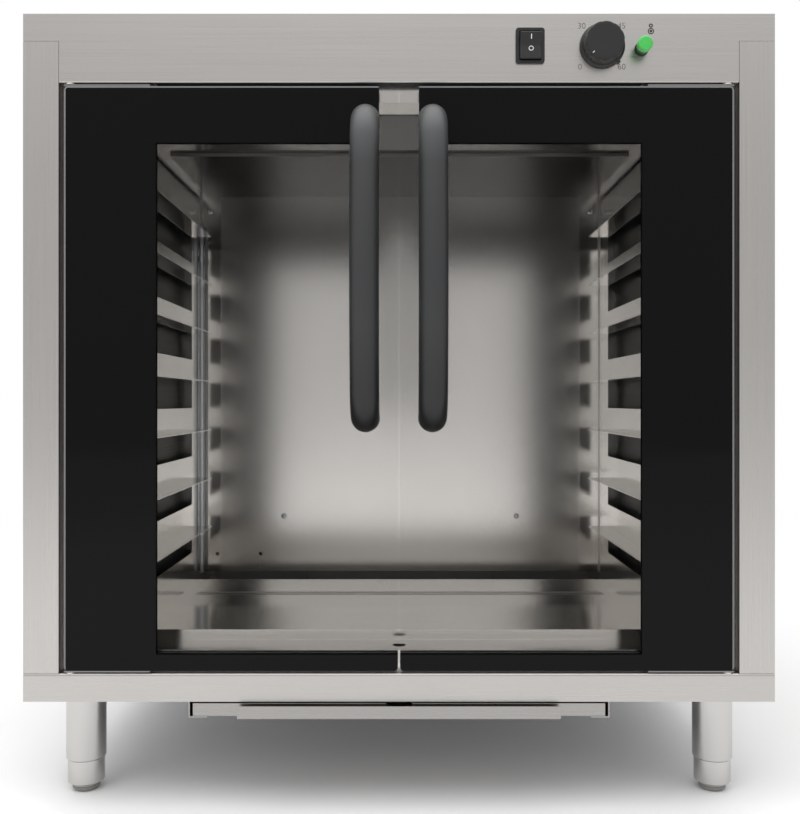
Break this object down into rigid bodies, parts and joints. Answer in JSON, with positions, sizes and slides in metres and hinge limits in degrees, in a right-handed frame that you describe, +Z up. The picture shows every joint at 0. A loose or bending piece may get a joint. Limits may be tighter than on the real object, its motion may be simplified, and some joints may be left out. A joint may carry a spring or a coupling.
{
  "type": "proofer cabinet",
  "caption": "Stainless steel dough proofer cabinet on adjustable feet, with hinged glass doors, bar handles, tray ledges, thermostat knob, rocker switch, lamp and sliding drip tray.",
  "frame": {"origin": "floor level, below the middle of the outer box in width and in depth", "axes": "+X to the right seen from the front, +Y to the back, +Z up; the doors face -Y"},
  "size_m": [0.784, 0.7079, 0.83],
  "materials": {
    "outer_steel": "satin",
    "base_steel": "matte",
    "inner_steel": "polished",
    "rack_steel": "polished",
    "tube_steel": "polished",
    "element_steel": "satin",
    "insulation_wool": "matte",
    "door_glass": "gloss",
    "seal_rubber": "matte",
    "hinge_steel": "satin",
    "bush_nylon": "satin",
    "handle_plastic": "matte",
    "control_plastic": "satin",
    "lamp_green": "gloss",
    "bakelite": "satin",
    "screw_steel": "satin",
    "stud_brass": "satin",
    "tray_steel": "satin",
    "foot_steel": "satin"
  },
  "bodies": {
    "cabinet": {"top_panel": "outer_steel", "control_panel": "outer_steel", "left_side_panel": "outer_steel", "right_side_panel": "outer_steel", "rear_panel": "outer_steel", "bottom_front_panel": "outer_steel", "base_pan": "base_steel", "hinge_brackets": "base_steel", "front_frame": "inner_steel", "chamber_ceiling": "inner_steel", "ceiling_plate": "inner_steel", "left_liner_wall": "inner_steel", "right_liner_wall": "inner_steel", "chamber_back_wall": "inner_steel", "air_duct_panel": "inner_steel", "chamber_floor": "inner_steel", "heater_well": "inner_steel", "left_tray_rack": "rack_steel", "right_tray_rack": "rack_steel", "tray_ledges": "rack_steel", "rack_uprights": "rack_steel", "heater_brackets": "rack_steel", "probe_guard": "tube_steel", "probe_bulb": "tube_steel", "heating_element": "element_steel", "insulation_slabs": "insulation_wool", "drain_spout": "seal_rubber", "hinge_bushes": "bush_nylon", "switch_housing": "control_plastic", "lamp_holder": "control_plastic", "cable_gland": "control_plastic", "lamp_lens": "lamp_green", "thermostat_body": "bakelite", "terminal_block": "bakelite", "panel_screws": "screw_steel", "liner_screws": "screw_steel", "earth_stud": "stud_brass", "left_tray_runner": "tray_steel", "right_tray_runner": "tray_steel", "foot_sleeves": "foot_steel"},
    "left_door": {"left_door_glass": "door_glass", "left_door_seal": "seal_rubber", "left_top_hinge_shoe": "hinge_steel", "left_bottom_hinge_shoe": "hinge_steel", "left_door_handle": "handle_plastic", "left_handle_screws": "screw_steel"},
    "right_door": {"right_door_glass": "door_glass", "right_door_seal": "seal_rubber", "right_top_hinge_shoe": "hinge_steel", "right_bottom_hinge_shoe": "hinge_steel", "right_door_handle": "handle_plastic", "right_handle_screws": "screw_steel"},
    "tray": {"drip_tray": "tray_steel"},
    "knob": {"thermostat_knob": "control_plastic", "thermostat_shaft": "tube_steel"},
    "rocker": {"switch_rocker": "control_plastic"},
    "front_left_stand": {"front_left_foot": "foot_steel"},
    "front_right_stand": {"front_right_foot": "foot_steel"},
    "rear_left_stand": {"rear_left_foot": "foot_steel"},
    "rear_right_stand": {"rear_right_foot": "foot_steel"}
  },
  "joints": [
    {"name": "left_door_hinge", "type": "hinge", "parent": "cabinet", "child": "left_door", "pos_m": [-0.3437, -0.2915, 0.44825], "axis": [0, 0, -1], "range_deg": [0, 135]},
    {"name": "right_door_hinge", "type": "hinge", "parent": "cabinet", "child": "right_door", "pos_m": [0.3437, -0.2915, 0.44825], "axis": [0, 0, 1], "range_deg": [0, 135]},
    {"name": "drip_tray_slide", "type": "slide", "parent": "cabinet", "child": "tray", "axis": [0, -1, 0], "range_m": [0, 0.14]},
    {"name": "thermostat_turn", "type": "hinge", "parent": "cabinet", "child": "knob", "pos_m": [0.2118, -0.296, 0.796], "axis": [0, 1, 0], "range_deg": [0, 270]},
    {"name": "rocker_tilt", "type": "hinge", "parent": "cabinet", "child": "rocker", "pos_m": [0.1366, -0.292, 0.796], "axis": [-1, 0, 0], "range_deg": [0, 16]},
    {"name": "front_left_foot_screw", "type": "slide", "parent": "cabinet", "child": "front_left_stand", "axis": [0, 0, -1], "range_m": [0, 0.03]},
    {"name": "front_right_foot_screw", "type": "slide", "parent": "cabinet", "child": "front_right_stand", "axis": [0, 0, -1], "range_m": [0, 0.03]},
    {"name": "rear_left_foot_screw", "type": "slide", "parent": "cabinet", "child": "rear_left_stand", "axis": [0, 0, -1], "range_m": [0, 0.03]},
    {"name": "rear_right_foot_screw", "type": "slide", "parent": "cabinet", "child": "rear_right_stand", "axis": [0, 0, -1], "range_m": [0, 0.03]}
  ]
}
